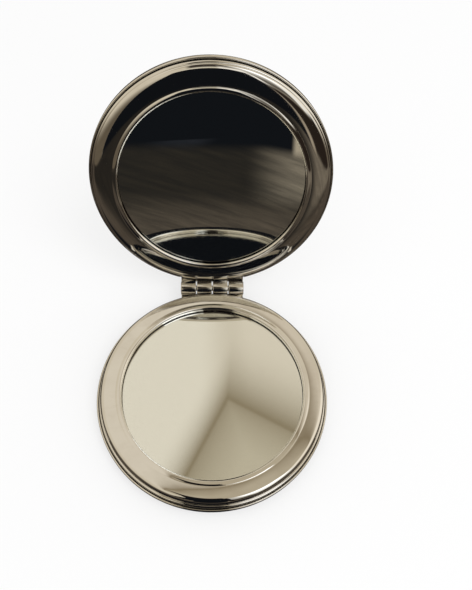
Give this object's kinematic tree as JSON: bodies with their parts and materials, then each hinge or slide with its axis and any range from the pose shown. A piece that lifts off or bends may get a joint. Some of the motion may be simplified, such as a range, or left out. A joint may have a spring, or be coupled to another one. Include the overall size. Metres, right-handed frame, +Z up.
{
  "type": "compact mirror",
  "caption": "Round folding pocket mirror: polished metal base and lid on a rear barrel hinge, each framing a round mirror.",
  "frame": {"origin": "centre of the base's flat underside, where it rests on the table", "axes": "+Z up, +X to the right of a person who looks into the open mirror, +Y to the back, where the hinge is"},
  "size_m": [0.07, 0.0986, 0.0729],
  "materials": {
    "polished_shell": "mirror-polished silver plating on pressed steel",
    "polished_frame": "mirror-polished silver plating on pressed steel",
    "hinge_metal": "polished silver plating, slightly worn",
    "pin_steel": "drawn steel wire with a cut end",
    "rivet_steel": "plain steel",
    "mirror_glass": "clear float glass",
    "mirror_coat": "silvered coat with grey backing paint",
    "foam_pad": "white adhesive foam",
    "tray_plastic": "moulded black plastic",
    "magnet_nickel": "nickel-plated magnet",
    "striker_steel": "plain steel plate"
  },
  "bodies": {
    "base": {"base_shell": "polished_shell", "base_tray": "tray_plastic", "base_pad": "foam_pad", "base_silvering": "mirror_coat", "base_glass": "mirror_glass", "base_frame": "polished_frame", "base_hinge_leaf": "hinge_metal", "base_rivets": "rivet_steel", "base_magnet": "magnet_nickel", "hinge_pin": "pin_steel"},
    "lid": {"lid_shell": "polished_shell", "lid_tray": "tray_plastic", "lid_pad": "foam_pad", "lid_silvering": "mirror_coat", "lid_glass": "mirror_glass", "lid_frame": "polished_frame", "lid_hinge_leaf": "hinge_metal", "lid_rivets": "rivet_steel", "lid_striker": "striker_steel"}
  },
  "joints": [
    {"name": "lid_hinge", "type": "hinge", "parent": "base", "child": "lid", "pos_m": [0, 0.0355, 0.00717], "axis": [-1, 0, 0], "range_deg": [-108.7, 71.3]}
  ]
}
